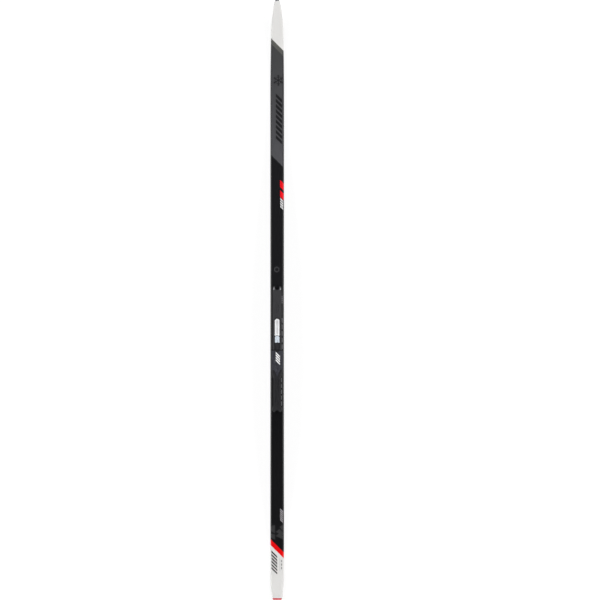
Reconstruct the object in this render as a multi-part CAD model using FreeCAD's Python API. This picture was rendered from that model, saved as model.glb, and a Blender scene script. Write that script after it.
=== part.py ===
import FreeCAD, Part
import math
import os

# One 186 cm cross country skating ski with its two moulded binding plates.
# +X points to the tip, +Y to the left and +Z up. The origin is the middle of the
# ski's length and width, on the ground that the unweighted ski stands on.
# All sizes are in millimetres.

V = FreeCAD.Vector
os.makedirs("parts", exist_ok=True)

# --- Driving dimensions of the ski ---------------------------------------------

HALF_LENGTH = 930.0
TIP_END = 926.0            # the laminated body runs between these two, and a
TAIL_END = -925.0          # moulded protector closes each end
TIP_TONGUE_START = 896.0   # each protector has a tongue, let into the body from here
TAIL_TONGUE_START = -905.0
TIP_TONGUE_HALF_WIDTH = 4.0
TAIL_TONGUE_HALF_WIDTH = 8.0
TIP_SPACER_START = 780.0   # core and sidewalls run between these two
TAIL_SPACER_START = -830.0
FLAT_FRONT = 80.0          # top and base are flat between these two, under the
FLAT_REAR = -380.0         # binding plates

CAMBER = 18.0              # height of the unweighted arch
FRONT_CONTACT = 640.0
REAR_CONTACT = -800.0
TIP_RISE = 32.0
TIP_CURVE = 2.2            # power of the tip's upward curve
TAIL_RISE = 6.0
TAIL_CURVE = 2.0

DRAFT = 0.05               # how much the sidewalls lean in, per mm of height
SHOULDER = 5.0             # most width and height of the rounded shoulder
SHOULDER_PER_THICKNESS = 0.42
SHOULDER_PER_HALF_WIDTH = 0.3
SKIRT_PER_THICKNESS = 0.1  # the cap's straight skirt, under the shoulder
SHOULDER_ANGLES = (0, 22.5, 45, 67.5, 90)

BASE_SHEET = 1.4
LAMINATE = 0.6
TOP_SHEET = 0.6
CAP = TOP_SHEET + LAMINATE
SIDEWALL = 2.4
CORE_SPLIT = 9.0           # half width of the middle piece of the core
CHANNEL_INNER = 1.5        # two air channels in the core, from here to here
CHANNEL_OUTER = 6.5        # on each side of the middle plane
CHANNEL_ROOF = 3.5
CHANNEL_FRONT = 500.0
CHANNEL_REAR = -640.0

GROOVE_DEPTH = 1.0
GROOVE_HALF_WIDTH = 4.5
GROOVE_WALL = 1.5
GROOVE_FRONT = 700.0
GROOVE_REAR = -890.0

# Half width of the outline along the ski.
WIDTHS = [
    (-930, 13.2), (-927, 14.4), (-920, 16.0), (-905, 17.9), (-885, 20.0),
    (-865, 20.8), (-800, 20.9), (-740, 21.25), (434, 21.25), (657, 21.35),
    (700, 21.0), (780, 19.95), (830, 19.0), (862, 17.3), (886, 14.8),
    (905, 12.3), (920, 9.2), (926, 7.0), (930, 4.6),
]

# Thickness along the ski.
THICKNESSES = [
    (-930, 6.5), (-860, 8.0), (-760, 10.8), (-640, 15.0), (-500, 21.5),
    (FLAT_REAR, 27.0), (FLAT_FRONT, 27.0), (200, 23.0), (350, 17.6),
    (500, 13.2), (640, 9.8), (780, 6.8), (870, 5.4), (930, 4.6),
]

# --- Driving dimensions of the binding plates ----------------------------------

BOND = 0.4                 # adhesive film under each plate
BOND_HALF_WIDTH = 16.0
BOND_INSET = 2.0           # the film ends this far inside the plate
PLATE_HEIGHT = 6.2         # from the film to the plane that the boot stands on
FLANGE_HALF_WIDTH = 17.0
FLANGE_HEIGHT = 1.8
FRONT_RAIL_HALF_WIDTH = 13.5
REAR_RAIL_HALF_WIDTH = 11.0
RAIL_UNDERCUT = 1.8        # how far the binding's claws reach under the rail
RAIL_NECK_TOP = 3.2
RAIL_LIP_BOTTOM = 4.2
REAR_RAIL_HEIGHT = 5.6

FRONT_PLATE_FRONT = 43.0
FRONT_PLATE_REAR = -154.5
LOBE_RADIUS = 8.0
LOBE_RAMP_REAR = 28.0      # the lobes ramp down from here to their front
LOBE_RAMP_BOTTOM = 2.6
NOTCH_DEPTH = 5.5          # straight part of the notch between the lobes
GRIP_FRONT = -12.0         # two shallow grooves in the top of the front rail
GRIP_REAR = -37.0
GRIP_SPACING = 3.4
REAR_PLATE_FRONT = -155.5
REAR_PLATE_REAR = -347.0
NOTCH_RADIUS = 6.5
FLARE_FRONT = -328.0       # the rear plate widens again between these places
FLARE_FULL_FRONT = -336.0
FLARE_FULL_REAR = -341.0
FLARE_HALF_WIDTH = 16.0
RAIL_GROOVE_FRONT = -244.0
RAIL_GROOVE_REAR = -326.0
RAIL_GROOVE_SPACING = 5.5
HOLE_RADIUS = 1.2
HOLE_SPACING = 3.1
PLATE_HOLES = -243.0
PAD_HOLES = -219.0

POCKET_FRONT = -54.0
POCKET_HALF_WIDTH = 9.5
POCKET_FLOOR = 2.8
RACK_FRONT = -58.3
RACK_REAR = -109.4
RACK_HALF_WIDTH = 7.3
RACK_TOP = 5.9
RACK_TOOTH_PITCH = 3.0
BLOCK_FRONT = -114.0
BLOCK_REAR = -133.0
BLOCK_HALF_WIDTH = 7.2
BLOCK_TOP = 5.7

PAD_THICKNESS = 1.4
PAD_SEAT = PLATE_HEIGHT - PAD_THICKNESS
PAD_FRONT = -157.0
PAD_REAR = -215.0
PAD_POINT = -237.0
PAD_HALF_WIDTH = 17.5
PAD_POINT_HALF_WIDTH = 8.5
PAD_NOTCH_HALF_WIDTH = 6.0
PAD_NOTCH_DEPTH = 4.5
SEAT_REAR = -240.0
SEAT_HALF_WIDTH = 18.5
SEAT_CHAMFER = 1.3
FLARE_CHAMFER = 1.6

REINFORCEMENT = 1.2
REINFORCEMENT_HALF_WIDTH = 13.0
REINFORCEMENT_INSET = 10.0

# --- Profiles along the ski ----------------------------------------------------


def monotone(table):
    """A smooth curve through (x, value) points, with no overshoot between them."""
    xs = [float(x) for x, _ in table]
    values = [value for _, value in table]
    steps = [xs[i + 1] - xs[i] for i in range(len(xs) - 1)]
    chords = [(values[i + 1] - values[i]) / steps[i] for i in range(len(steps))]
    slopes = [chords[0]]
    for before, after in zip(chords, chords[1:]):
        both = before * after
        slopes.append(2 * both / (before + after) if both > 0 else 0.0)
    slopes.append(chords[-1])

    def curve(x):
        i = max(j for j in range(len(steps)) if j == 0 or xs[j] <= x)
        t = (x - xs[i]) / steps[i]
        if t < 0 or t > 1:
            end = 0 if t < 0 else -1
            return values[end] + slopes[end] * (x - xs[end])
        rise = values[i + 1] - values[i]
        bend_in = slopes[i] * steps[i] - rise
        bend_out = rise - slopes[i + 1] * steps[i]
        return values[i] + t * rise + t * (1 - t) * ((1 - t) * bend_in + t * bend_out)

    return curve


half_width = monotone(WIDTHS)
thickness = monotone(THICKNESSES)


def bottom(x):
    """Height of the running surface: an arch between two contacts, and upturned ends."""
    if x > FRONT_CONTACT:
        along = (x - FRONT_CONTACT) / (HALF_LENGTH - FRONT_CONTACT)
        return TIP_RISE * along ** TIP_CURVE
    if x > FLAT_FRONT:
        along = (x - FLAT_FRONT) / (FRONT_CONTACT - FLAT_FRONT)
        return CAMBER / 2 * (1 + math.cos(math.pi * along))
    if x >= FLAT_REAR:
        return CAMBER
    if x > REAR_CONTACT:
        along = (x - FLAT_REAR) / (REAR_CONTACT - FLAT_REAR)
        return CAMBER / 2 * (1 + math.cos(math.pi * along))
    along = (REAR_CONTACT - x) / (HALF_LENGTH + REAR_CONTACT)
    return TAIL_RISE * along ** TAIL_CURVE


def shoulder_drop(x):
    """Height of the rounded shoulder, less where the ski is thin."""
    return min(SHOULDER, SHOULDER_PER_THICKNESS * thickness(x))


def shoulder_run(x):
    """Width of the rounded shoulder, less where the ski is narrow."""
    return min(SHOULDER, SHOULDER_PER_HALF_WIDTH * half_width(x))


def skirt_height(x):
    """Height of the lower edge of the cap above the running surface."""
    return thickness(x) - shoulder_drop(x) - SKIRT_PER_THICKNESS * thickness(x)


def core_top(x):
    """Height of the top of the core above the running surface."""
    return thickness(x) - CAP


def level(height):
    """A constant height above the running surface, as a profile."""
    return lambda x: height


BASE_TOP = level(BASE_SHEET)
CORE_BOTTOM = level(BASE_SHEET + LAMINATE)

# --- Long pieces ---------------------------------------------------------------

# The splines along the ski have a knot at each of these places. They are closest
# where the shape changes most.
STATIONS = sorted(
    {float(x) for x, _ in WIDTHS + THICKNESSES}
    | {TAIL_END, TAIL_SPACER_START, -700.0, -570.0, -440.0, FLAT_REAR + 5}
    | {FLAT_FRONT - 5, 140.0, 275.0, 425.0, 570.0, 740.0, 805.0, 846.0, TIP_TONGUE_START}
)


def side_corner(side, height, inset=0.0):
    """A corner of the section on the leaning side of the ski, at a height profile."""
    def corner(x):
        rise = height(x)
        return side * (half_width(x) - DRAFT * rise - inset), bottom(x) + rise
    return corner


def shoulder_corner(side, degrees, inset):
    """A corner of the section on the rounded shoulder, set in from its outer face."""
    angle = math.radians(degrees)

    def corner(x):
        drop = shoulder_drop(x)
        run = shoulder_run(x)
        height = thickness(x) - drop
        centre = half_width(x) - DRAFT * height - run
        y = centre + (run - inset) * math.cos(angle)
        return side * y, bottom(x) + height + (drop - inset) * math.sin(angle)
    return corner


def inner_corner(y, height):
    """A corner of the section at a constant distance from the middle plane."""
    return lambda x: (y, bottom(x) + height(x))


def cap_corners(inset):
    """The corners over the top of the ski, from the right skirt to the left one."""
    right = [shoulder_corner(-1, angle, inset) for angle in SHOULDER_ANGLES]
    left = [shoulder_corner(1, angle, inset) for angle in reversed(SHOULDER_ANGLES)]
    skirts = [side_corner(side, skirt_height, inset) for side in (-1, 1)]
    return [skirts[0]] + right + left + [skirts[1]]


def rail_poles(corner, xs):
    """Poles of the cubic spline that a corner follows through the stations xs."""
    reach = 0.5
    poles = []
    for i, x in enumerate(xs):
        ahead = V(x + reach, *corner(x + reach))
        behind = V(x - reach, *corner(x - reach))
        slope = (ahead - behind) / (2 * reach)
        point = V(x, *corner(x))
        poles.append(point - slope * ((x - xs[i - 1]) / 3) if i else point)
        last = i == len(xs) - 1
        poles.append(point if last else point + slope * ((xs[i + 1] - x) / 3))
    return poles


def long_piece(corners, start, end):
    """A closed solid whose section has these corners, between two stations."""
    xs = [x for x in STATIONS if start <= x <= end]
    knots_once = [4] + [2] * (len(xs) - 2) + [4]
    rails = [rail_poles(corner, xs) for corner in corners]
    faces = []
    for one, other in zip(rails, rails[1:] + rails[:1]):
        surface = Part.BSplineSurface()
        surface.buildFromPolesMultsKnots(
            [one, other], [2, 2], knots_once, [0.0, 1.0], xs, False, False, 1, 3
        )
        faces.append(surface.toShape())
    for end_pole in (0, -1):
        ring = [rail[end_pole] for rail in rails]
        faces.append(Part.Face(Part.makePolygon(ring + ring[:1])))
    shell = Part.makeShell(faces)
    shell.sewShape()
    solid = Part.makeSolid(shell)
    if solid.Volume < 0:
        solid.reverse()
    return solid


def tongue(half_wide, start, end):
    """A tongue between the two laminates, as thick as the space there."""
    corners = [
        inner_corner(-half_wide, CORE_BOTTOM),
        inner_corner(half_wide, CORE_BOTTOM),
        inner_corner(half_wide, core_top),
        inner_corner(-half_wide, core_top),
    ]
    return long_piece(corners, start, end)


def base_sheet():
    """The running base, with its guide groove."""
    corners = [
        side_corner(-1, level(0.0)),
        side_corner(1, level(0.0)),
        side_corner(1, BASE_TOP),
        side_corner(-1, BASE_TOP),
    ]
    half_floor = GROOVE_HALF_WIDTH - GROOVE_WALL
    groove = [
        inner_corner(-GROOVE_HALF_WIDTH - GROOVE_WALL, level(-GROOVE_DEPTH)),
        inner_corner(GROOVE_HALF_WIDTH + GROOVE_WALL, level(-GROOVE_DEPTH)),
        inner_corner(half_floor, level(GROOVE_DEPTH)),
        inner_corner(-half_floor, level(GROOVE_DEPTH)),
    ]
    sheet = long_piece(corners, TAIL_END, TIP_END)
    return sheet.cut(long_piece(groove, GROOVE_REAR, GROOVE_FRONT))


def base_laminate():
    corners = [
        side_corner(-1, BASE_TOP),
        side_corner(1, BASE_TOP),
        side_corner(1, CORE_BOTTOM),
        side_corner(-1, CORE_BOTTOM),
    ]
    return long_piece(corners, TAIL_END, TIP_END)


def cap_layer(outer, inner):
    """One layer of the cap, between two distances from the outer face."""
    return long_piece(cap_corners(outer) + cap_corners(inner)[::-1], TAIL_END, TIP_END)


def sidewall(side):
    corners = [
        side_corner(side, CORE_BOTTOM),
        side_corner(side, skirt_height),
        side_corner(side, skirt_height, SIDEWALL),
        side_corner(side, CORE_BOTTOM, SIDEWALL),
    ]
    return long_piece(corners, TAIL_SPACER_START, TIP_SPACER_START)


def reinforcement():
    """The insert under the binding plates, let into the top of the core."""
    top = CAMBER + thickness(0) - CAP
    return Part.makeBox(
        FLAT_FRONT - FLAT_REAR - 2 * REINFORCEMENT_INSET,
        2 * REINFORCEMENT_HALF_WIDTH,
        REINFORCEMENT,
        V(FLAT_REAR + REINFORCEMENT_INSET, -REINFORCEMENT_HALF_WIDTH, top - REINFORCEMENT),
    )


def core_centre():
    """The middle of the core, with two air channels cut into its underside."""
    block = tongue(CORE_SPLIT, TAIL_SPACER_START, TIP_SPACER_START)
    for side in (-1, 1):
        channel = [
            inner_corner(side * CHANNEL_INNER, level(0.0)),
            inner_corner(side * CHANNEL_OUTER, level(0.0)),
            inner_corner(side * CHANNEL_OUTER, lambda x: core_top(x) - CHANNEL_ROOF),
            inner_corner(side * CHANNEL_INNER, lambda x: core_top(x) - CHANNEL_ROOF),
        ]
        block = block.cut(long_piece(channel, CHANNEL_REAR, CHANNEL_FRONT))
    return block.cut(reinforcement())


def core_stringer(side):
    """The dense outer part of the core, from the middle piece to the sidewall."""
    arc = [shoulder_corner(side, angle, CAP) for angle in SHOULDER_ANGLES]
    corners = [
        inner_corner(side * CORE_SPLIT, CORE_BOTTOM),
        side_corner(side, CORE_BOTTOM, SIDEWALL),
        side_corner(side, skirt_height, SIDEWALL),
        side_corner(side, skirt_height, CAP),
    ]
    corners += arc + [inner_corner(side * CORE_SPLIT, core_top)]
    block = long_piece(corners, TAIL_SPACER_START, TIP_SPACER_START)
    return block.cut(reinforcement())


def spacer(start, end):
    """The light filler that takes the core's place in the thin tip or tail."""
    corners = [side_corner(-1, CORE_BOTTOM), side_corner(-1, skirt_height)]
    corners += cap_corners(CAP)
    corners += [side_corner(1, skirt_height), side_corner(1, CORE_BOTTOM)]
    return long_piece(corners, start, end)


def protector(start, end):
    """A moulded end piece with the ski's whole section."""
    corners = [side_corner(-1, level(0.0))] + cap_corners(0.0)
    return long_piece(corners + [side_corner(1, level(0.0))], start, end)


# --- Binding plates ------------------------------------------------------------

SKI_TOP = CAMBER + thickness(0)
PLATE_BOTTOM = SKI_TOP + BOND


def bar(section, start, end):
    """A prism along X from (y, z) points, z counted from the plate's underside."""
    ring = [V(start, y, PLATE_BOTTOM + z) for y, z in section]
    return Part.Face(Part.makePolygon(ring + ring[:1])).extrude(V(end - start, 0, 0))


def plate(edges, low, high):
    """A prism along Z from the edges of a plan outline, between two heights."""
    face = Part.Face(Part.Wire(Part.__sortEdges__(edges)))
    face.translate(V(0, 0, PLATE_BOTTOM + low))
    return face.extrude(V(0, 0, high - low))


def lines(points):
    """Straight edges through plan points."""
    pairs = zip(points, points[1:])
    return [Part.makeLine(V(*a, 0), V(*b, 0)) for a, b in pairs]


def arc(start, middle, end):
    """A plan arc through three points."""
    return Part.Arc(V(*start, 0), V(*middle, 0), V(*end, 0)).toShape()


def block(x0, x1, half_wide, low, high, y=0.0):
    """A box in the plates' frame, centred on a line parallel to the middle plane."""
    corner = V(x0, y - half_wide, PLATE_BOTTOM + low)
    return Part.makeBox(x1 - x0, 2 * half_wide, high - low, corner)


def rail_section(half_wide, top):
    """Section of a plate: a flange, a neck and an overhanging rail."""
    neck = half_wide - RAIL_UNDERCUT
    right = [
        (FLANGE_HALF_WIDTH, 0.0),
        (FLANGE_HALF_WIDTH, FLANGE_HEIGHT - 0.5),
        (FLANGE_HALF_WIDTH - 0.5, FLANGE_HEIGHT),
        (neck, FLANGE_HEIGHT),
        (neck, RAIL_NECK_TOP),
        (half_wide, RAIL_LIP_BOTTOM),
        (half_wide, top - 0.6),
        (half_wide - 0.6, top),
    ]
    return right + [(-y, z) for y, z in reversed(right)]


def corner_arc(x, y, radius, toward_x, toward_y):
    """A quarter round that ends a plan outline at the corner (x, y)."""
    middle = radius * (1 - math.sqrt(0.5))
    start = (x - toward_x * radius, y)
    end = (x, y - toward_y * radius)
    return arc(start, (x - toward_x * middle, y - toward_y * middle), end)


def bullet(front, rear, half_wide, nose):
    """Plan of a slot with straight sides and a pointed, round-shouldered front."""
    return [
        arc((front - nose, half_wide), (front - 0.4 * nose, 0.72 * half_wide), (front, 0)),
        arc((front, 0), (front - 0.4 * nose, -0.72 * half_wide), (front - nose, -half_wide)),
    ] + lines([
        (front - nose, -half_wide), (rear, -half_wide),
        (rear, half_wide), (front - nose, half_wide),
    ])


def front_outline():
    """Plan of the front plate: two rounded lobes beside a deep round notch."""
    half = FLANGE_HALF_WIDTH
    front = FRONT_PLATE_FRONT
    lobe = LOBE_RADIUS
    notch = front - NOTCH_DEPTH
    edges = [
        corner_arc(front, half, lobe, 1, 1),
        corner_arc(front, -half, lobe, 1, -1),
        arc((notch, NOTCH_RADIUS), (notch - NOTCH_RADIUS, 0), (notch, -NOTCH_RADIUS)),
    ]
    edges += lines([(front, half - lobe), (front, NOTCH_RADIUS), (notch, NOTCH_RADIUS)])
    edges += lines([(notch, -NOTCH_RADIUS), (front, -NOTCH_RADIUS), (front, lobe - half)])
    return edges + lines([
        (front - lobe, -half), (FRONT_PLATE_REAR, -half),
        (FRONT_PLATE_REAR, half), (front - lobe, half),
    ])


def front_plate():
    """The plate that carries the toe binding, with a pocket for the rack."""
    body = bar(
        rail_section(FRONT_RAIL_HALF_WIDTH, PLATE_HEIGHT),
        FRONT_PLATE_REAR,
        FRONT_PLATE_FRONT,
    )
    body = body.common(plate(front_outline(), 0, PLATE_HEIGHT))
    # The lobes ramp down to the front, to lead the binding on.
    ramp = [
        (LOBE_RAMP_REAR, PLATE_HEIGHT), (FRONT_PLATE_FRONT + 1, LOBE_RAMP_BOTTOM),
        (FRONT_PLATE_FRONT + 1, PLATE_HEIGHT + 1), (LOBE_RAMP_REAR, PLATE_HEIGHT + 1),
    ]
    ring = [V(x, -SEAT_HALF_WIDTH, PLATE_BOTTOM + z) for x, z in ramp]
    wedge = Part.Face(Part.makePolygon(ring + ring[:1]))
    body = body.cut(wedge.extrude(V(0, 2 * SEAT_HALF_WIDTH, 0)))
    pocket = bullet(POCKET_FRONT, FRONT_PLATE_REAR - 1, POCKET_HALF_WIDTH, 7.0)
    body = body.cut(plate(pocket, POCKET_FLOOR, PLATE_HEIGHT + 1))
    for y in (-GRIP_SPACING, GRIP_SPACING):
        grip = block(GRIP_REAR, GRIP_FRONT, 0.9, PLATE_HEIGHT - 0.9, PLATE_HEIGHT + 1, y)
        body = body.cut(grip)
    # Four raised bars stiffen the floor of the pocket behind the block.
    for i in range(4):
        x = BLOCK_REAR - 5.0 - 4.0 * i
        body = body.fuse(block(x - 1.2, x, 6.0, POCKET_FLOOR - 0.1, POCKET_FLOOR + 0.8))
    return body.removeSplitter()


def position_rack():
    """The white rack that sets the toe binding's place, toothed along its slot."""
    outline = bullet(RACK_FRONT, RACK_REAR, RACK_HALF_WIDTH, 5.5)
    body = plate(outline, POCKET_FLOOR, RACK_TOP)
    flare = lines([
        (RACK_REAR + 6, 0), (RACK_REAR + 6, RACK_HALF_WIDTH),
        (RACK_REAR, RACK_HALF_WIDTH + 0.8), (RACK_REAR - 1.2, RACK_HALF_WIDTH - 3),
        (RACK_REAR + 1.2, 0), (RACK_REAR - 1.2, 3 - RACK_HALF_WIDTH),
        (RACK_REAR, -RACK_HALF_WIDTH - 0.8), (RACK_REAR + 6, -RACK_HALF_WIDTH),
        (RACK_REAR + 6, 0),
    ])
    body = body.fuse(plate(flare, POCKET_FLOOR, RACK_TOP))
    slot_front = RACK_FRONT - 5.0
    slot_rear = slot_front - 42.0
    body = body.cut(block(slot_rear, slot_front, 1.5, POCKET_FLOOR + 1, RACK_TOP + 1))
    teeth = int((slot_front - slot_rear) / RACK_TOOTH_PITCH)
    for i in range(teeth):
        x = slot_front - (i + 0.75) * RACK_TOOTH_PITCH
        body = body.fuse(block(x, x + 1.2, 1.6, POCKET_FLOOR + 0.9, POCKET_FLOOR + 1.9))
    return body.removeSplitter()


def scale_block():
    """The pale block behind the rack, with a low tongue that reaches the rack."""
    outline = lines([
        (BLOCK_FRONT, 0), (BLOCK_FRONT, BLOCK_HALF_WIDTH - 1),
        (BLOCK_FRONT - 1, BLOCK_HALF_WIDTH), (BLOCK_REAR + 2, BLOCK_HALF_WIDTH),
        (BLOCK_REAR, BLOCK_HALF_WIDTH - 3), (BLOCK_REAR, 3.2), (BLOCK_REAR + 3.2, 0),
        (BLOCK_REAR, -3.2), (BLOCK_REAR, 3 - BLOCK_HALF_WIDTH),
        (BLOCK_REAR + 2, -BLOCK_HALF_WIDTH), (BLOCK_FRONT - 1, -BLOCK_HALF_WIDTH),
        (BLOCK_FRONT, 1 - BLOCK_HALF_WIDTH), (BLOCK_FRONT, 0),
    ])
    body = plate(outline, POCKET_FLOOR, BLOCK_TOP)
    body = body.cut(block(BLOCK_REAR, BLOCK_FRONT - 3, 0.6, BLOCK_TOP - 0.6, BLOCK_TOP + 1))
    link_front = RACK_REAR - 1.4
    link = block(BLOCK_FRONT, link_front, 5.5, POCKET_FLOOR, BLOCK_TOP - 1.2)
    return body.fuse(link).removeSplitter()


def rear_plate():
    """The plate that carries the heel piece: a pad seat, a rail and a flared end."""
    half = FLANGE_HALF_WIDTH
    rear = REAR_PLATE_REAR
    rail = REAR_RAIL_HALF_WIDTH
    body = bar(rail_section(rail, REAR_RAIL_HEIGHT), rear, SEAT_REAR)
    seat = lines([
        (REAR_PLATE_FRONT, 0), (REAR_PLATE_FRONT, SEAT_HALF_WIDTH),
        (PAD_REAR + 1, SEAT_HALF_WIDTH), (SEAT_REAR, rail), (SEAT_REAR, -rail),
        (PAD_REAR + 1, -SEAT_HALF_WIDTH), (REAR_PLATE_FRONT, -SEAT_HALF_WIDTH),
        (REAR_PLATE_FRONT, 0),
    ])
    seat = plate(seat, 0, PAD_SEAT)
    body = body.fuse(seat.makeChamfer(SEAT_CHAMFER, outer_top_edges(seat, PAD_SEAT)))
    wide = FLARE_HALF_WIDTH
    flare = lines([
        (FLARE_FRONT, rail), (FLARE_FULL_FRONT, wide), (FLARE_FULL_REAR, wide),
        (rear, rail), (rear, -rail), (FLARE_FULL_REAR, -wide),
        (FLARE_FULL_FRONT, -wide), (FLARE_FRONT, -rail), (FLARE_FRONT, rail),
    ])
    flare = plate(flare, 0, REAR_RAIL_HEIGHT)
    outer = outer_top_edges(flare, REAR_RAIL_HEIGHT)
    body = body.fuse(flare.makeChamfer(FLARE_CHAMFER, outer))
    # The tail end of the flange is cut to the same bevelled corners.
    for side in (-1, 1):
        corner = lines([
            (rear - 1, side * (rail + 1)), (rear - 1, side * (half + 3)),
            (FLARE_FULL_REAR + 3, side * (half + 3)), (FLARE_FULL_REAR, side * half),
            (rear - 1, side * (rail + 1)),
        ])
        body = body.cut(plate(corner, -0.1, PLATE_HEIGHT))
    notch = Part.makeCylinder(NOTCH_RADIUS, 10, V(rear - 1, 0, PLATE_BOTTOM - 1))
    body = body.cut(notch)
    top = REAR_RAIL_HEIGHT
    for y in (-RAIL_GROOVE_SPACING, 0, RAIL_GROOVE_SPACING):
        groove = block(RAIL_GROOVE_REAR, RAIL_GROOVE_FRONT, 0.8, top - 0.7, top + 1, y)
        body = body.cut(groove)
    body = body.cut(holes(PLATE_HOLES, top - 2))
    return body.removeSplitter()


def holes(x, bottom_of_hole):
    """The cutter for a pair of small blind holes, side by side."""
    left, right = [
        Part.makeCylinder(HOLE_RADIUS, PLATE_HEIGHT, V(x, y, PLATE_BOTTOM + bottom_of_hole))
        for y in (-HOLE_SPACING, HOLE_SPACING)
    ]
    return left.fuse(right)


def outer_top_edges(solid, height):
    """The edges along the two sides of a plate part's top."""
    edges = []
    for edge in solid.Edges:
        a, b = edge.Vertexes[0].Point, edge.Vertexes[-1].Point
        on_top = min(a.z, b.z) > PLATE_BOTTOM + height - 0.01
        outside = min(abs(a.y), abs(b.y)) > REAR_RAIL_HALF_WIDTH - 0.01
        if on_top and outside and abs(a.x - b.x) > 1:
            edges.append(edge)
    return edges


def heel_pad():
    """The textured pad under the heel, with a notch in front and a pointed rear."""
    notch = PAD_NOTCH_HALF_WIDTH
    deep = PAD_FRONT - PAD_NOTCH_DEPTH
    point = PAD_POINT_HALF_WIDTH
    edges = [arc((PAD_FRONT, notch), (deep, 0), (PAD_FRONT, -notch))]
    edges += lines([
        (PAD_FRONT, -notch), (PAD_FRONT, -PAD_HALF_WIDTH), (PAD_REAR, -PAD_HALF_WIDTH),
        (PAD_REAR - 2, -point), (PAD_POINT, 0), (PAD_REAR - 2, point),
        (PAD_REAR, PAD_HALF_WIDTH), (PAD_FRONT, PAD_HALF_WIDTH), (PAD_FRONT, notch),
    ])
    pad = plate(edges, PAD_SEAT, PLATE_HEIGHT)
    return pad.cut(holes(PAD_HOLES, PAD_SEAT + 0.4))


def bond(rear, front):
    """The adhesive film under a plate."""
    corner = V(rear, -BOND_HALF_WIDTH, SKI_TOP)
    return Part.makeBox(front - rear, 2 * BOND_HALF_WIDTH, BOND, corner)


# --- Every piece of the ski ----------------------------------------------------

tip_tongue = tongue(TIP_TONGUE_HALF_WIDTH, TIP_TONGUE_START, TIP_END)
tail_tongue = tongue(TAIL_TONGUE_HALF_WIDTH, TAIL_END, TAIL_TONGUE_START)

pieces = {
    "base_sheet": base_sheet(),
    "base_laminate": base_laminate(),
    "sidewall_left": sidewall(1),
    "sidewall_right": sidewall(-1),
    "core_centre": core_centre(),
    "core_stringer_left": core_stringer(1),
    "core_stringer_right": core_stringer(-1),
    "binding_reinforcement": reinforcement(),
    "top_laminate": cap_layer(TOP_SHEET, CAP),
    "top_sheet": cap_layer(0.0, TOP_SHEET),
    "tip_spacer": spacer(TIP_SPACER_START, TIP_END).cut(tip_tongue),
    "tail_spacer": spacer(TAIL_END, TAIL_SPACER_START).cut(tail_tongue),
    "tip_protector": protector(TIP_END, HALF_LENGTH).fuse(tip_tongue),
    "tail_protector": protector(-HALF_LENGTH, TAIL_END).fuse(tail_tongue),
    "front_plate_bond": bond(FRONT_PLATE_REAR + BOND_INSET, LOBE_RAMP_REAR),
    "front_plate": front_plate(),
    "position_rack": position_rack(),
    "scale_block": scale_block(),
    "rear_plate_bond": bond(FLARE_FULL_REAR + 1, REAR_PLATE_FRONT - BOND_INSET),
    "rear_plate": rear_plate(),
    "heel_pad": heel_pad(),
}

for name, shape in pieces.items():
    shape.exportStep("parts/" + name + ".step")
    print(name, round(shape.Volume), len(shape.Solids), shape.isValid())
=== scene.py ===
import math

import bmesh
import bpy
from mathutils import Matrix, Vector
from mathutils.bvhtree import BVHTree
from mathutils.geometry import delaunay_2d_cdt


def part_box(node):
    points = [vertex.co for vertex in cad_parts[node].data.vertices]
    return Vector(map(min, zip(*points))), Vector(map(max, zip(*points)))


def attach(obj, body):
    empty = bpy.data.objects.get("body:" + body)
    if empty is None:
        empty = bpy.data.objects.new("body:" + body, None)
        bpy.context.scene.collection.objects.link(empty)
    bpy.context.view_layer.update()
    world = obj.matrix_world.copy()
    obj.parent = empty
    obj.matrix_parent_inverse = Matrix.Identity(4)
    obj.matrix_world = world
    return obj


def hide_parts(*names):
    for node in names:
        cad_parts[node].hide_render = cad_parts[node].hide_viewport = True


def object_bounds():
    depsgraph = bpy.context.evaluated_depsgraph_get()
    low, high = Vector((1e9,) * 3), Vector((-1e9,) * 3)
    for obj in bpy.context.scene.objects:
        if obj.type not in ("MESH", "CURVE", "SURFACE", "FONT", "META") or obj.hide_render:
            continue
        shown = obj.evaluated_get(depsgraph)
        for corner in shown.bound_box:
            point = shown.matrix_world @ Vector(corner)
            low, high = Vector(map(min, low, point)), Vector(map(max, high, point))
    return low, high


# The looks of a cross country skating ski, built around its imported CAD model.
# Metres throughout, +X to the tip, +Y to the left, +Z up.

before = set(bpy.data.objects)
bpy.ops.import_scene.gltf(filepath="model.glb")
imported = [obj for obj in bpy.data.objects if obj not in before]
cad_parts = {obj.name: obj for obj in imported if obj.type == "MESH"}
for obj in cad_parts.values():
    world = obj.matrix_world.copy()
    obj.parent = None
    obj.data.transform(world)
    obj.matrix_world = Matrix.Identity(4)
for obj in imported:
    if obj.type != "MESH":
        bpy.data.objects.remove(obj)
cad_low, cad_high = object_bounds()

MM = 0.001
LENGTH = cad_high.x - cad_low.x
SLANT = 1.0                # every printed edge runs at 45 degrees across the ski

# Where the slanted edges of the print cross the middle plane.
TIP_EDGE = 0.7927
GREY_EDGE = 0.4308
UNDER_PLATE_EDGE = -0.06
RED_EDGE = -0.7623
TAIL_EDGE = -0.7808

FILM = 0.1 * MM            # how far a printed mark stands above what it is printed on
FILM_STEP = 0.6 * MM       # how finely a mark is cut up across the ski to follow the skin

SKIN = 0.45 * MM           # thickness of the printed skin
ROW_STEP = 6 * MM          # spacing of the skin's sections along the ski
HAIRLINE = 0.01 * MM       # gap between neighbouring pieces of the print
EDGE = 0.2 * MM            # rays keep this far inside a piece's ends
GROOVE_FRONT = 0.7         # the base has its groove behind here
BESIDE_GROOVE = 9 * MM     # the base is measured this far out, past the groove

# The shoulder: its most height and width, and its shares of thickness and half width.
SHOULDER = 5 * MM
SHOULDER_SHARE = 0.42
RUN_SHARE = 0.3
SKIRT = 0.1                # share of the thickness that the skirt under it covers


# --- Colours and materials -----------------------------------------------------


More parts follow.
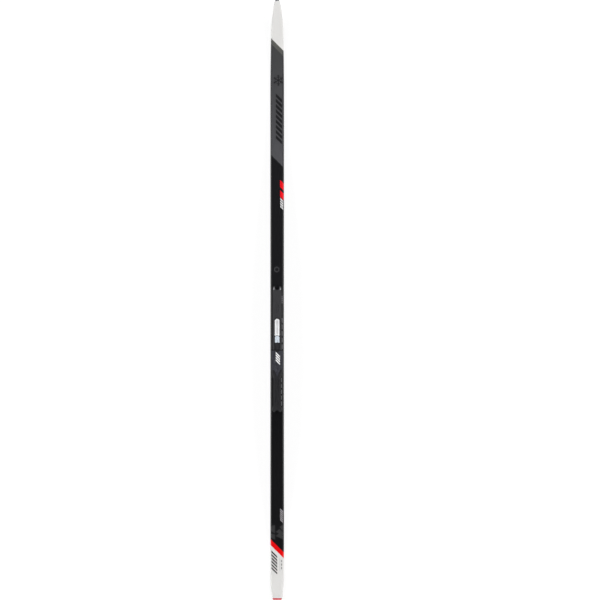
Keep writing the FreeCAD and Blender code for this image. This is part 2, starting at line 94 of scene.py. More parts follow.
def linear(red, green, blue):
    """Scene-linear colour from display values of 0 to 255."""
    def channel(value):
        value = value / 255
        return value / 12.92 if value <= 0.04045 else ((value + 0.055) / 1.055) ** 2.4
    return (channel(red), channel(green), channel(blue), 1.0)


class Surface:
    """A Principled material with small helpers for procedural detail."""

    def __init__(self, name, roughness=0.4, specular=0.5, coat=0.0, coat_roughness=0.1):
        self.material = bpy.data.materials.new(name)
        self.material.use_nodes = True
        self.tree = self.material.node_tree
        self.shader = self.tree.nodes["Principled BSDF"]
        self.shader.inputs["Roughness"].default_value = roughness
        self.shader.inputs["Specular IOR Level"].default_value = specular
        self.shader.inputs["Coat Weight"].default_value = coat
        self.shader.inputs["Coat Roughness"].default_value = coat_roughness
        self.place = self.tree.nodes.new("ShaderNodeTexCoord").outputs["Object"]

    def node(self, kind, **inputs):
        made = self.tree.nodes.new(kind)
        for name, value in inputs.items():
            socket = made.inputs[name.replace("_", " ")]
            self.feed(socket, value)
        return made

    def feed(self, socket, value):
        if isinstance(value, bpy.types.NodeSocket):
            self.tree.links.new(value, socket)
        else:
            socket.default_value = value

    def scaled(self, along, across, up):
        """Place coordinates with their own scale per metre on each axis."""
        mapping = self.node("ShaderNodeMapping", Vector=self.place)
        mapping.inputs["Scale"].default_value = (along, across, up)
        return mapping.outputs["Vector"]

    def noise(self, scale, detail=3.0, where=None, roughness=0.5):
        made = self.node("ShaderNodeTexNoise", Vector=where or self.place)
        made.inputs["Scale"].default_value = scale
        made.inputs["Detail"].default_value = detail
        made.inputs["Roughness"].default_value = roughness
        return made.outputs["Fac"]

    def ramp(self, value, stops):
        """Maps a value through (position, colour) stops."""
        made = self.node("ShaderNodeValToRGB", Fac=value)
        band = made.color_ramp
        while len(band.elements) < len(stops):
            band.elements.new(0.5)
        for element, (position, colour) in zip(band.elements, stops):
            element.position = position
            element.color = colour
        return made.outputs["Color"]

    def spread(self, value, low, high, to_low=0.0, to_high=1.0):
        made = self.node("ShaderNodeMapRange", Value=value)
        for name, number in zip(("From Min", "From Max", "To Min", "To Max"),
                                (low, high, to_low, to_high)):
            made.inputs[name].default_value = number
        return made.outputs["Result"]

    def math(self, operation, first, second=0.0):
        made = self.tree.nodes.new("ShaderNodeMath")
        made.operation = operation
        self.feed(made.inputs[0], first)
        self.feed(made.inputs[1], second)
        return made.outputs[0]

    def blend(self, factor, first, second, mode="MIX"):
        made = self.tree.nodes.new("ShaderNodeMix")
        made.data_type = "RGBA"
        made.blend_type = mode
        self.feed(made.inputs["Factor"], factor)
        self.feed(made.inputs[6], first)
        self.feed(made.inputs[7], second)
        return made.outputs[2]

    def axis(self, index):
        split = self.node("ShaderNodeSeparateXYZ", Vector=self.place)
        return split.outputs[index]

    def colour(self, value):
        self.feed(self.shader.inputs["Base Color"], value)
        return self

    def roughness(self, value, low, high):
        self.feed(self.shader.inputs["Roughness"], self.spread(value, 0, 1, low, high))
        return self

    def bump(self, height, depth, strength=1.0):
        made = self.node("ShaderNodeBump", Height=height)
        made.inputs["Strength"].default_value = strength
        made.inputs["Distance"].default_value = depth
        self.feed(self.shader.inputs["Normal"], made.outputs["Normal"])
        return self


def printed(name, main, flecks, shoulder=None, far=None):
    """Lacquered print: a tone that may shift along the ski, with painted shade that darkens it
    on the shoulders.
    """
    look = Surface(name, roughness=0.36, specular=0.26, coat=0.06, coat_roughness=0.2)
    tone = linear(*main)
    if far:
        (x0, x1), other = far
        along = look.spread(look.axis(0), x0, x1)
        tone = look.blend(along, tone, linear(*other))
    # Painted shade: from 15.2 to 17.2 mm out from the middle, the tone darkens to the shoulder
    # colour.
    if shoulder:
        across = look.math("ABSOLUTE", look.axis(1))
        edge = look.spread(across, 0.0152, 0.0172)
        tone = look.blend(edge, tone, linear(*shoulder))
    fine = look.noise(1400, detail=2.0)
    cloud = look.noise(38, detail=4.0)
    tone = look.blend(look.spread(fine, 0.45, 0.75, 0.0, 0.3), tone, linear(*flecks))
    tone = look.blend(look.spread(cloud, 0.3, 0.8, 0.0, 0.12), tone, linear(*flecks))
    look.colour(tone)
    wear = look.noise(1.0, detail=5.0, where=look.scaled(24, 900, 900))
    look.roughness(wear, 0.26, 0.44)
    return look.bump(look.noise(520, detail=2.0), 0.03 * MM, 0.5).material


def ink(name, colour):
    """A printed mark, with the slight mottle of screen ink; it also makes the painted highlight
    on the front plate's lobes.
    """
    look = Surface(name, roughness=0.38, specular=0.26, coat=0.06, coat_roughness=0.2)
    grain = look.noise(1100, detail=3.0)
    dark = [0.88 * part for part in colour]
    look.colour(look.ramp(grain, [(0.3, linear(*dark)), (0.7, linear(*colour))]))
    return look.roughness(grain, 0.32, 0.5).material


def moulded(name, main, light, roughness=0.5, grain=2600, depth=0.05, low=None):
    """Moulded plastic: a fine spark-eroded grain, paler where it has been rubbed.

    With low, a darker colour painted down beside the rail, below 47.4 to 48.6 mm up, as painted
    shade.
    """
    look = Surface(name, roughness=roughness, specular=0.3)
    fine = look.noise(grain, detail=2.0)
    cloud = look.noise(60, detail=5.0)
    tone = look.ramp(fine, [(0.35, linear(*main)), (0.8, linear(*light))])
    tone = look.blend(look.spread(cloud, 0.4, 0.8, 0.0, 0.35), tone, linear(*light))
    # Painted shade: the flanges low beside the rail take the darker low colour.
    if low:
        above_painted_shade = look.spread(look.axis(2), 47.4 * MM, 48.6 * MM)
        tone = look.blend(above_painted_shade, linear(*low), tone)
    look.colour(tone)
    look.roughness(cloud, roughness - 0.08, roughness + 0.12)
    return look.bump(fine, depth * MM, 0.6).material


def running_base():
    """Sintered black base: speckled, with the fine lines of a stone grind."""
    look = Surface("sintered_base", roughness=0.42, specular=0.35)
    speckle = look.node("ShaderNodeTexVoronoi", Vector=look.place, Scale=900.0)
    dots = look.spread(speckle.outputs["Distance"], 0.05, 0.3)
    tone = look.blend(dots, linear(58, 58, 62), linear(24, 24, 26))
    lines = look.noise(1.0, detail=3.0, where=look.scaled(14, 3200, 14))
    cross = look.node("ShaderNodeTexWave", Vector=look.place, Scale=330.0, Distortion=1.2)
    cross.bands_direction = "DIAGONAL"
    grind = look.math("ADD", lines, look.math("MULTIPLY", cross.outputs["Fac"], 0.35))
    tone = look.blend(look.spread(grind, 0.5, 1.1, 0.0, 0.4), tone, linear(46, 46, 49))
    look.colour(tone)
    look.roughness(grind, 0.3, 0.55)
    return look.bump(grind, 0.06 * MM, 0.7).material


def sidewall_plastic():
    """Planed black sidewall, with long drawn lines."""
    look = Surface("sidewall_plastic", roughness=0.38, specular=0.4)
    drawn = look.noise(1.0, detail=4.0, where=look.scaled(9, 9, 2400))
    look.colour(look.ramp(drawn, [(0.3, linear(20, 20, 22)), (0.75, linear(40, 40, 43))]))
    look.roughness(drawn, 0.28, 0.52)
    return look.bump(drawn, 0.05 * MM, 0.6).material


def fibre(name, dark, light):
    """Fibre laminate seen on its cut edge: thin plies with bundles of fibre."""
    look = Surface(name, roughness=0.45)
    plies = look.noise(1.0, detail=4.0, where=look.scaled(160, 160, 9000))
    look.colour(look.ramp(plies, [(0.35, linear(*dark)), (0.7, linear(*light))]))
    return look.bump(plies, 0.04 * MM).material


def wood(name, dark, light):
    """Core wood, with grain along the ski."""
    look = Surface(name, roughness=0.6, specular=0.3)
    rings = look.noise(1.0, detail=6.0, where=look.scaled(6, 700, 500), roughness=0.65)
    look.colour(look.ramp(rings, [(0.3, linear(*dark)), (0.7, linear(*light))]))
    return look.bump(rings, 0.08 * MM).material


def foam(name, dark, light):
    """Closed-cell filler, seen only at the edge of the tip and tail."""
    look = Surface(name, roughness=0.6)
    cells = look.node("ShaderNodeTexVoronoi", Vector=look.place, Scale=1500.0)
    distance = cells.outputs["Distance"]
    look.colour(look.ramp(distance, [(0.1, linear(*light)), (0.6, linear(*dark))]))
    return look.bump(distance, 0.08 * MM).material


BLACK = (24, 24, 26)
looks = {
    "white": printed("white_print", (223, 222, 220), (210, 210, 209)),
    # The colour after the flecks is painted shade on the shoulders.
    "hatch": printed("hatch_print", (92, 92, 88), (72, 72, 70), (60, 60, 60)),
    "grey": printed("grey_print", (81, 81, 84), (64, 64, 68), (52, 51, 54),
                    ((GREY_EDGE, TIP_EDGE), (66, 66, 67))),
    "front_black": printed("front_black_print", (20, 20, 22), (26, 26, 29), (10, 10, 12)),
    "rear_black": printed("rear_black_print", (10, 10, 12), (17, 17, 19), (6, 6, 8)),
    "red": printed("red_print", (228, 0, 6), (208, 0, 4)),
    "black_ink": ink("black_ink", BLACK),
    "pale_ink": ink("pale_ink", (104, 104, 101)),
    "grey_ink": ink("grey_ink", (56, 56, 57)),
    "dim_ink": ink("dim_ink", (66, 66, 68)),
    "mid_ink": ink("mid_ink", (150, 150, 150)),
    "faint_ink": ink("faint_ink", (196, 196, 196)),
    "fine_ink": ink("fine_ink", (146, 146, 150)),
    # Painted highlight on the front plate's lobes.
    "painted_highlight_plate": ink("painted_highlight_plate", (150, 150, 154)),
    "white_ink": ink("white_ink", (232, 231, 232)),
    "bright_ink": ink("bright_ink", (250, 250, 250)),
    "soft_white_ink": ink("soft_white_ink", (168, 164, 168)),
    "red_ink": ink("red_ink", (248, 4, 26)),
    # The plates' low colour is painted shade on the flanges beside the rails.
    "plate": moulded("plate_plastic", (46, 46, 48), (62, 62, 64), low=(12, 12, 14)),
    "rear_plate": moulded("rear_plate_plastic", (30, 30, 32), (44, 44, 46), low=(12, 12, 14)),
    "pad": moulded("pad_rubber", (50, 50, 57), (66, 67, 74), 0.62, 1800, 0.12),
    "rack": moulded("rack_plastic", (240, 240, 240), (224, 225, 228), 0.4, 4200, 0.006),
    "block": moulded("block_plastic", (218, 226, 234), (192, 204, 214), 0.36, 4200, 0.006),
    "nub": moulded("tip_protector_plastic", (92, 92, 94), (120, 120, 122)),
    "red_cap": moulded("tail_protector_plastic", (208, 30, 48), (176, 18, 36), 0.4),
    "film": foam("adhesive_foam", (30, 30, 31), (58, 58, 60)),
    "base": running_base(),
    "sidewall": sidewall_plastic(),
    "laminate": fibre("edge_laminate", (26, 26, 24), (66, 66, 58)),
    "insert": fibre("insert_laminate", (60, 62, 44), (104, 106, 80)),
    "core": wood("dense_core_wood", (150, 112, 70), (196, 160, 112)),
    "light_core": wood("light_core_wood", (196, 168, 124), (226, 206, 170)),
    "filler": foam("filler_foam", (30, 30, 31), (66, 66, 66)),
}


# --- Making pieces -------------------------------------------------------------


def add_piece(name, bm, look, slot, *replaced, crease=32):
    """Makes a piece from a bmesh, on the ski's one body."""
    bmesh.ops.recalc_face_normals(bm, faces=bm.faces)
    mesh = bpy.data.meshes.new(name)
    bm.to_mesh(mesh)
    bm.free()
    mesh.polygons.foreach_set("use_smooth", [True] * len(mesh.polygons))
    mesh.set_sharp_from_angle(angle=math.radians(crease))
    mesh.materials.append(looks[look])
    piece = bpy.data.objects.new(name, mesh)
    bpy.context.scene.collection.objects.link(piece)
    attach(piece, "root")
    if replaced:
        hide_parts(*replaced)
    return piece


def surface_tree(*objects):
    """One ray-casting tree over the meshes of several objects."""
    points, rings = [], []
    for thing in objects:
        first = len(points)
        points += [v.co.copy() for v in thing.data.vertices]
        rings += [[first + i for i in p.vertices] for p in thing.data.polygons]
    return BVHTree.FromPolygons(points, rings)


def measured_profile():
    """Rows of (x, top, thickness, half width) along the CAD skin and base."""
    cad_skin = surface_tree(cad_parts["top_sheet"])
    cad_base = surface_tree(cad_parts["base_sheet"])
    low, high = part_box("top_sheet")
    count = math.ceil((high.x - low.x) / ROW_STEP)
    rows = []
    for i in range(count + 1):
        x = low.x + (high.x - low.x) * i / count
        at = min(max(x, low.x + EDGE), high.x - EDGE)
        beside = BESIDE_GROOVE if at < GROOVE_FRONT else 0
        top = cad_skin.ray_cast(Vector((at, 0, 1)), Vector((0, 0, -1)))[0].z
        under = cad_base.ray_cast(Vector((at, beside, -1)), Vector((0, 0, 1)))[0].z
        deep = top - under
        level = top - shoulder_drop(deep) - SKIRT * deep / 2
        side = cad_skin.ray_cast(Vector((at, 1, level)), Vector((0, -1, 0)))[0].y
        rows.append((x, top, deep, side))
    return rows


def shoulder_drop(thickness):
    """Height of the rounded shoulder."""
    return min(SHOULDER, SHOULDER_SHARE * thickness)


def profile(x):
    """Top height, thickness and half width of the ski, between the measured rows."""
    first, last = ROWS[0][0], ROWS[-1][0]
    place = (min(max(x, first), last) - first) / (last - first) * (len(ROWS) - 1)
    i = min(int(place), len(ROWS) - 2)
    return [a + (b - a) * (place - i) for a, b in zip(ROWS[i][1:], ROWS[i + 1][1:])]


def skin_point(x, slant, side, corner):
    """A point of the skin and its inward direction, on a slanted section.

    The corner is an angle on the shoulder, a share of the flat top, or the skirt's foot.
    """
    kind, amount = corner
    y = 0.0
    for _ in range(6):
        at = x + slant * side * y
        top, deep, half = profile(at)
        drop = shoulder_drop(deep)
        run = min(SHOULDER, RUN_SHARE * half)
        if kind == "foot":
            y, z, inward = half, top - drop - SKIRT * deep, (-1, 0)
        elif kind == "angle":
            out = math.cos(amount), math.sin(amount)
            y, z = half - run + run * out[0], top - drop + drop * out[1]
            inward = (-out[0], -out[1])
        else:
            y, z, inward = amount * (half - run), top, (0, -1)
    return Vector((x + slant * side * y, side * y, z)), Vector((0, side * inward[0], inward[1]))


def skin_section(x, slant):
    """Outer and inner points over the skin, right skirt to left, on a slanted section."""
    corners = [("foot", 0)] + [("angle", math.radians(a)) for a in (0, 22.5, 45, 67.5, 90)]
    corners += [("share", share) for share in (0.93, 0.6, 0.3)]
    right = [skin_point(x, slant, -1, corner) for corner in corners]
    left = [skin_point(x, slant, 1, corner) for corner in corners]
    around = right + [skin_point(x, slant, 1, ("share", 0))] + left[::-1]
    return [point for point, _ in around], [point + SKIN * way for point, way in around]


def print_zone(name, look, front, rear, front_slant=SLANT, rear_slant=SLANT):
    """The stretch of the printed skin between two edges across the ski."""
    rows = max(4, round((front - rear) / ROW_STEP))
    bm = bmesh.new()
    rings = []
    for i in range(rows + 1):
        t = i / rows
        x = front + (rear - front) * t
        outer, inner = skin_section(x, front_slant + (rear_slant - front_slant) * t)
        rings.append([bm.verts.new(point) for point in outer + inner[::-1]])
    count = len(rings[0])
    for one, other in zip(rings, rings[1:]):
        for j in range(count):
            k = (j + 1) % count
            bm.faces.new((one[j], one[k], other[k], other[j]))
    for ring in (rings[0], rings[-1]):
        for j in range(count // 2 - 1):
            bm.faces.new((ring[j], ring[j + 1], ring[count - 2 - j], ring[count - 1 - j]))
    return add_piece(name, bm, look, "top_sheet", "top_sheet", crease=50)


def refined(node, look, slot, edge=0.3 * MM, crease=24):
    """Stands for a CAD node with the same shape and rounded edges."""
    bm = bmesh.new()
    bm.from_mesh(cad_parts[node].data)
    bmesh.ops.remove_doubles(bm, verts=bm.verts, dist=1e-6)
    bmesh.ops.dissolve_limit(
        bm, angle_limit=math.radians(1.5), verts=bm.verts, edges=bm.edges
    )
    sharp = [
        e for e in bm.edges
        if e.is_manifold and e.calc_face_angle(0) > math.radians(crease)
    ]
    bmesh.ops.bevel(
        bm, geom=sharp, offset=edge, segments=2, profile=0.7, affect="EDGES",
        clamp_overlap=True,
    )
    bmesh.ops.triangulate(bm, faces=[f for f in bm.faces if len(f.verts) > 4])
    return add_piece(node + "_moulding", bm, look, slot, node)


# --- The printed skin ----------------------------------------------------------

HATCH_REAR = TIP_EDGE - 17 * MM
ENDS = 0.02 * MM           # the print stops this far short of the CAD skin's ends
ROWS = measured_profile()
skin_low, skin_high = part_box("top_sheet")

zones = [
    print_zone("tip_print", "white", skin_high.x - ENDS, TIP_EDGE, 0),
    print_zone("hatch_print", "hatch", TIP_EDGE - HAIRLINE, HATCH_REAR),
    print_zone("front_panel_print", "grey", HATCH_REAR - HAIRLINE, GREY_EDGE),
    print_zone("front_black_print", "front_black", GREY_EDGE - HAIRLINE, UNDER_PLATE_EDGE),
    print_zone("rear_black_print", "rear_black", UNDER_PLATE_EDGE - HAIRLINE, RED_EDGE),
    print_zone("red_stripe_print", "red", RED_EDGE - HAIRLINE, TAIL_EDGE),
    print_zone("tail_print", "white", TAIL_EDGE - HAIRLINE, skin_low.x + ENDS, SLANT, 0),
]
bpy.context.view_layer.update()
skin = surface_tree(*zones)


def skin_height(x, y):
    """Height of the printed skin at a place in plan, or None off the ski."""
    hit = skin.ray_cast(Vector((x, y, 1)), Vector((0, 0, -1)))[0]
    return hit.z if hit else None


# --- Marks ---------------------------------------------------------------------


def area(outline):
    """Area inside a plan outline, above zero where it runs anticlockwise."""
    pairs = zip(outline, outline[1:] + outline[:1])
    return sum(x0 * y1 - x1 * y0 for (x0, y0), (x1, y1) in pairs) / 2


def mark(name, outlines, look, slot="top_sheet", height=skin_height):
    """A thin closed film in the shape of plan outlines, laid on a surface."""
    outlines = [outline if area(outline) > 0 else outline[::-1] for outline in outlines]
    corners = [Vector(corner) for outline in outlines for corner in outline]
    numbers = iter(range(len(corners)))
    rings = [[next(numbers) for _ in outline] for outline in outlines]
    merged = delaunay_2d_cdt(corners, [], rings, 1, 1e-7)
    bm = bmesh.new()
    points = [bm.verts.new((*corner, 0)) for corner in merged[0]]
    for ring, sources in zip(merged[2], merged[5]):
        if sources:
            bm.faces.new([points[i] for i in ring])
    bmesh.ops.delete(bm, geom=[v for v in bm.verts if not v.link_faces], context="VERTS")
    low = [min(v.co[i] for v in bm.verts) for i in (0, 1)]
    high = [max(v.co[i] for v in bm.verts) for i in (0, 1)]
    for axis, step in ((0, 8 * FILM_STEP), (1, FILM_STEP)):
        normal = Vector((1 - axis, axis, 0))
        for i in range(1, math.ceil((high[axis] - low[axis]) / step)):
            everything = list(bm.verts) + list(bm.edges) + list(bm.faces)
            bmesh.ops.bisect_plane(
                bm, geom=everything, plane_co=normal * (low[axis] + i * step),
                plane_no=normal,
            )
    for v in bm.verts:
        v.co.z = height(v.co.x, v.co.y) + FILM
    bmesh.ops.recalc_face_normals(bm, faces=bm.faces)
    if sum(f.normal.z for f in bm.faces) < 0:
        bmesh.ops.reverse_faces(bm, faces=bm.faces)
    bmesh.ops.solidify(bm, geom=bm.faces[:], thickness=1.3 * FILM)
    return add_piece(name, bm, look, slot)


def slanted(front, rear, left, right):
    """A bar between two places along the ski, with its ends at the print's slant."""
    return [
        (front + SLANT * left, left), (rear + SLANT * left, left),
        (rear + SLANT * right, right), (front + SLANT * right, right),
    ]


def stroke(start, end, width):
    """A straight line of some width, as an outline."""
    along = Vector(end) - Vector(start)
    side = Vector((-along.y, along.x)).normalized() * (width / 2)
    return [tuple(Vector(p) + s * side) for p, s in
            ((start, 1), (start, -1), (end, -1), (end, 1))]


def box_outline(front, rear, left, right):
    return [(front, left), (rear, left), (rear, right), (front, right)]


def snow_star(cx, cy, radius):
    """A six-armed snow crystal of plain bars."""
    centre = Vector((cx, cy))

    def toward(degrees):
        return Vector((math.cos(math.radians(degrees)), math.sin(math.radians(degrees))))

    outlines = [[tuple(centre + 0.17 * radius * toward(60 * k + 30)) for k in range(6)]]
    for k in range(6):
        along = toward(60 * k)
        outlines.append(stroke(centre, centre + along * radius, 0.13 * radius))
        for reach, size in ((0.46, 0.3), (0.74, 0.22)):
            for turn in (-55, 55):
                root = centre + along * reach * radius
                twig = root + toward(60 * k + turn) * size * radius
                outlines.append(stroke(root, twig, 0.11 * radius))
    return outlines


def bars(front, rear, left, right, count, gap):
    """A row of slanted bars, that stands where lettering would."""
    pitch = (front - rear + gap) / count
    fronts = [front - i * pitch for i in range(count)]
    return [slanted(x, x - pitch + gap, left, right) for x in fronts]


def dashes(front, rear, y, width, length, gap):
    """A row of short dashes along the ski."""
    count = round((front - rear + gap) / (length + gap))
    pitch = (front - rear + gap) / count
    return [
        box_outline(front - i * pitch, front - i * pitch - length, y + width / 2,
                    y - width / 2)
        for i in range(count)
    ]


def ring_outlines(cx, cy, outer, inner):
    """A six-sided ring, as six outlines."""
    def corner(k, radius):
        angle = math.radians(60 * k)
        return cx + radius * math.cos(angle), cy + radius * math.sin(angle)
    return [[corner(k, outer), corner(k, inner), corner(k + 1, inner), corner(k + 1, outer)]
            for k in range(6)]


def shards(front, rear):
    """Angular grey shapes across the ski, cut by the print's slant."""
    length = front - rear
    left, right = edge_of_ski(front, 1), edge_of_ski(front, -1)
    thirds = [right + (left - right) * i / 3 for i in range(4)]
    return [
        [(front, right), (front - 0.16 * length, thirds[1]), (front - 0.5 * length, right)],
        [(front - 0.1 * length, thirds[3]), (front - 0.05 * length, thirds[2]),
         (front - 0.6 * length, thirds[2]), (front - 0.42 * length, thirds[3])],
        [(front - 0.3 * length, thirds[1]), (front - 0.56 * length, right),
         (front - 0.74 * length, right), (front - 0.5 * length, thirds[2] - 2 * MM)],
        [(front - 0.56 * length, thirds[1]), (front - 0.82 * length, right),
         (rear, right), (front - 0.76 * length, thirds[2] - 2 * MM)],
        [(front - 0.66 * length, thirds[2]), (rear, thirds[2]), (front - 0.84 * length, left),
         (front - 0.6 * length, left)],
    ]


def edge_of_ski(x, side, inset=0.4 * MM):
    """How far out a mark may reach on one side of the ski, along the print's slant."""
    y = side * 22 * MM
    while skin_height(x + SLANT * y, y + side * inset) is None:
        y -= side * 0.1 * MM
    return y


def full_width(front, rear):
    """A slanted bar over the ski's whole width, down over both shoulders."""
    middle = (front + rear) / 2
    return slanted(front, rear, edge_of_ski(middle, 1), edge_of_ski(middle, -1))


# The band behind the tip, the crystal and the long row of bars on the grey panel.
mark("hatch_lines", [full_width(x, x - 1.8 * MM) for x in
                     (TIP_EDGE - 4 * MM, TIP_EDGE - 9.4 * MM, TIP_EDGE - 14.8 * MM)],
     "pale_ink")
mark("snow_star", snow_star(0.6815, -3.4 * MM, 17 * MM), "black_ink")
mark("tip_bars", bars(0.6364, 0.4976, 4.3 * MM, -15.2 * MM, 9, 6 * MM), "black_ink")

# The red blocks on the right edge, with the white bars between them and the panel.
red_right = edge_of_ski(0.34, -1)
mark("red_blocks", [slanted(0.3813, 0.359, -9 * MM, red_right),
                    slanted(0.3497, 0.3289, -9 * MM, red_right)], "red_ink")
mark("edge_bars", bars(0.326, 0.298, -9.5 * MM, -18.5 * MM, 4, 2.6 * MM), "white_ink")

# The ring ahead of the plates, then the bars and shards towards the tail.
mark("balance_mark", ring_outlines(0.0945, 1.4 * MM, 9.5 * MM, 5.5 * MM), "dim_ink")
mark("rear_edge_bars", bars(-0.637, -0.6735, -9 * MM, -18 * MM, 6, 2.4 * MM), "soft_white_ink")
mark("tail_shards", shards(-0.6955, -0.7435), "grey_ink")
mark("tail_bars", bars(-0.795, -0.8515, 18 * MM, 0, 6, 4.4 * MM), "black_ink")
mark("tail_ticks", dashes(-0.8065, -0.8355, -13.5 * MM, 3.2 * MM, 6.5 * MM, 4 * MM), "mid_ink")
mark("tail_rule", [box_outline(-0.8, -0.842, -7.6 * MM, -8.6 * MM)], "faint_ink")


# --- The binding plates --------------------------------------------------------


# The white bars on the pad: front, rear, left and right.
PAD_BARS = -164.5 * MM, -192.5 * MM, 4.6 * MM, -8.8 * MM

PIP_HEIGHT = 0.3 * MM
PIP_PITCH = 1.9 * MM
PIP_RADIUS = 0.55 * MM


def front_plate_piece():
    piece = refined("front_plate", "plate", "plate")
    surface = surface_tree(piece)
    low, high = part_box("front_plate")
    # Painted highlight: pale patches on the lobes' front ramps, where the lights would glint.
    lobe_highlights = [[(high.x - 12.5 * MM, side * 8.6 * MM), (high.x - 4 * MM, side * 8.6 * MM),
                (high.x - 4.6 * MM, side * 11 * MM), (high.x - 11 * MM, side * 12.6 * MM)]
               for side in (-1, 1)]
    mark("lobe_painted_highlight", lobe_highlights, "painted_highlight_plate", "plate", height_over(surface))
    rows = [dashes(13 * MM, -10 * MM, -15.6 * MM, 1.7 * MM, 5 * MM, 1.5 * MM),
            dashes(-56 * MM, -152 * MM, -15.6 * MM, 1.7 * MM, 14 * MM, 6 * MM)]
    mark("front_scale_dashes", rows[0] + rows[1], "fine_ink", "plate", height_over(surface))


def rear_plate_piece():
    piece = refined("rear_plate", "rear_plate", "plate")
    surface = surface_tree(piece)
    row = dashes(-241 * MM, -327 * MM, -13.4 * MM, 1.6 * MM, 13 * MM, 5 * MM)
    mark("rear_scale_dashes", row, "fine_ink", "plate", height_over(surface))


def height_over(tree):
    """A height function for marks that lie on a piece."""
    return lambda x, y: tree.ray_cast(Vector((x, y, 1)), Vector((0, 0, -1)))[0].z


def heel_pad_piece():
    """The pad, sunk by the height of the pips that cover it."""
    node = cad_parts["heel_pad"]
    low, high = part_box("heel_pad")
    bm = bmesh.new()
    bm.from_mesh(node.data)
    bmesh.ops.remove_doubles(bm, verts=bm.verts, dist=1e-6)
    for v in bm.verts:
        if v.co.z > high.z - 0.1 * MM:
            v.co.z -= PIP_HEIGHT
    bmesh.ops.dissolve_limit(
        bm, angle_limit=math.radians(1.5), verts=bm.verts, edges=bm.edges
    )
    sharp = [e for e in bm.edges if e.calc_face_angle(0) > math.radians(30)]
    bmesh.ops.bevel(bm, geom=sharp, offset=0.25 * MM, segments=2, profile=0.7,
                    affect="EDGES", clamp_overlap=True)
    bmesh.ops.triangulate(bm, faces=[f for f in bm.faces if len(f.verts) > 4])
    pad = add_piece("heel_pad_moulding", bm, "pad", "heel_pad", "heel_pad")
    surface = surface_tree(pad)
    top = high.z - PIP_HEIGHT
    pips = bmesh.new()
    columns = math.floor((high.y - low.y) / PIP_PITCH)
    rows = math.floor((high.x - low.x) / (PIP_PITCH * 0.5))
    for i in range(rows + 1):
        for j in range(columns + 1):
            x = high.x - PIP_PITCH * 0.5 * (i + 0.6)
            y = low.y + PIP_PITCH * (j + 0.5 * (i % 2) + 0.25)
            if in_pad(surface, x, y, top) and not under_bars(x, y):
                add_pip(pips, x, y, top)
    add_piece("heel_pad_pips", pips, "pad", "heel_pad")
    mark("pad_bars", bars(*PAD_BARS, 4, 2.6 * MM), "bright_ink", "heel_pad",
         height_over(surface))


def under_bars(x, y):
    """Do the white bars cover this place?"""
    front, rear, left, right = PAD_BARS
    return front > x - SLANT * y > rear and left > y > right


def in_pad(surface, x, y, top):
    """Is there flat pad under the whole of a pip here?"""
    reach = 1.4 * PIP_RADIUS
    for dx, dy in ((0, 0), (reach, 0), (-reach, 0), (0, reach), (0, -reach)):
        hit = surface.ray_cast(Vector((x + dx, y + dy, 1)), Vector((0, 0, -1)))[0]
        if hit is None or hit.z < top - 0.05 * MM:
            return False
    return True


def add_pip(bm, x, y, top):
    """A small rounded cone, with its foot just inside the pad."""
    rings = []
    for share, height in ((1.0, -0.1 * MM), (0.92, 0.5 * PIP_HEIGHT), (0.6, 0.98 * PIP_HEIGHT)):
        rings.append([
            bm.verts.new((x + share * PIP_RADIUS * math.cos(k * math.pi / 3),
                          y + share * PIP_RADIUS * math.sin(k * math.pi / 3), top + height))
            for k in range(6)
        ])
    for one, other in zip(rings, rings[1:]):
        for k in range(6):
            n = (k + 1) % 6
            bm.faces.new((one[k], one[n], other[n], other[k]))
    bm.faces.new(rings[-1])
    bm.faces.new(rings[0][::-1])


front_plate_piece()
rear_plate_piece()
heel_pad_piece()
refined("position_rack", "rack", "rack")
refined("scale_block", "block", "scale_block")
refined("tip_protector", "nub", "tip_protector", edge=0.9 * MM, crease=18)
refined("tail_protector", "red_cap", "tail_protector", edge=0.9 * MM, crease=18)

# The pieces whose CAD shape is already right only get their finish.
FINISHES = {
    "base_sheet": "base",
    "base_laminate": "laminate",
    "top_laminate": "laminate",
    "sidewall_left": "sidewall",
    "sidewall_right": "sidewall",
    "core_centre": "light_core",
    "core_stringer_left": "core",
    "core_stringer_right": "core",
    "binding_reinforcement": "insert",
    "tip_spacer": "filler",
    "tail_spacer": "filler",
    "front_plate_bond": "film",
    "rear_plate_bond": "film",
}
for node, look in FINISHES.items():
    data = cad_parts[node].data
    data.materials.clear()
    data.materials.append(looks[look])


# --- Camera, floor and light ---------------------------------------------------


FLOOR_REACH = 14
CEILING = 0.09             # strength of the world's light from above; its walls are 1
MEAN_TOP = 0.02            # height that the picture's scale is set at
RIGHT_OF_SKI = 0.0707      # how far right of the ski the camera looks


def stand_camera():
    """Straight above the ski, with the tip up and the ski left of the middle."""
    data = bpy.data.cameras.new("camera")
    data.lens = 300
    data.sensor_width = 36
    camera = bpy.data.objects.new("camera", data)
    bpy.context.scene.collection.objects.link(camera)
    distance = LENGTH * data.lens / data.sensor_width
    camera.location = (0, -RIGHT_OF_SKI, MEAN_TOP + distance)
    camera.rotation_euler = (0, 0, -math.pi / 2)
    data.clip_end = 60
    bpy.context.scene.camera = camera


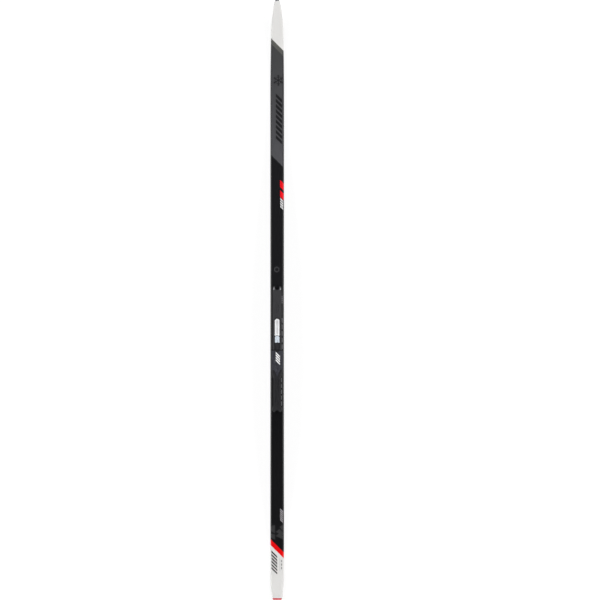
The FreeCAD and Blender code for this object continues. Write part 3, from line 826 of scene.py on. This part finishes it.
def lay_floor():
    bm = bmesh.new()
    bmesh.ops.create_grid(bm, x_segments=1, y_segments=1, size=FLOOR_REACH)
    mesh = bpy.data.meshes.new("floor")
    bm.to_mesh(mesh)
    bm.free()
    floor = bpy.data.objects.new("floor", mesh)
    floor.location.z = -0.1 * MM
    look = Surface("floor_paper", roughness=0.9, specular=0.1)
    look.colour(linear(140, 140, 140))
    look.shader.inputs["Emission Color"].default_value = (1, 1, 1, 1)
    look.shader.inputs["Emission Strength"].default_value = 0.8
    mesh.materials.append(look.material)
    bpy.context.scene.collection.objects.link(floor)


def add_softbox(name, place, size, power):
    data = bpy.data.lights.new(name, "AREA")
    data.shape = "RECTANGLE"
    data.size, data.size_y = size
    data.energy = power
    lamp = bpy.data.objects.new(name, data)
    lamp.location = place
    aim = Vector((0, 0, 0)) - Vector(place)
    lamp.rotation_euler = aim.to_track_quat("-Z", "Y").to_euler()
    bpy.context.scene.collection.objects.link(lamp)


def light_scene():
    world = bpy.data.worlds.new("studio")
    world.use_nodes = True
    tree = world.node_tree
    backdrop = tree.nodes["Background"]
    backdrop.inputs["Color"].default_value = (1, 1, 1, 1)
    # White walls at the height of the floor, under a dim ceiling.
    direction = tree.nodes.new("ShaderNodeTexCoord").outputs["Generated"]
    split = tree.nodes.new("ShaderNodeSeparateXYZ")
    tree.links.new(direction, split.inputs[0])
    fade = tree.nodes.new("ShaderNodeMapRange")
    fade.interpolation_type = "SMOOTHSTEP"
    tree.links.new(split.outputs["Z"], fade.inputs["Value"])
    for name, value in (("From Min", 0.12), ("From Max", 0.32), ("To Min", 1.0),
                        ("To Max", CEILING)):
        fade.inputs[name].default_value = value
    tree.links.new(fade.outputs["Result"], backdrop.inputs["Strength"])
    bpy.context.scene.world = world
    add_softbox("left_softbox", (0, 2.9, 1.6), (4.2, 1.4), 100)
    add_softbox("right_softbox", (0, -2.9, 1.6), (4.2, 1.4), 100)
    add_softbox("tip_softbox", (3.6, 0, 2.4), (1.6, 2.6), 40)
    add_softbox("tail_softbox", (-3.6, 0, 2.4), (1.6, 2.6), 40)
    bpy.context.scene.view_settings.view_transform = "Standard"


lay_floor()
light_scene()
stand_camera()
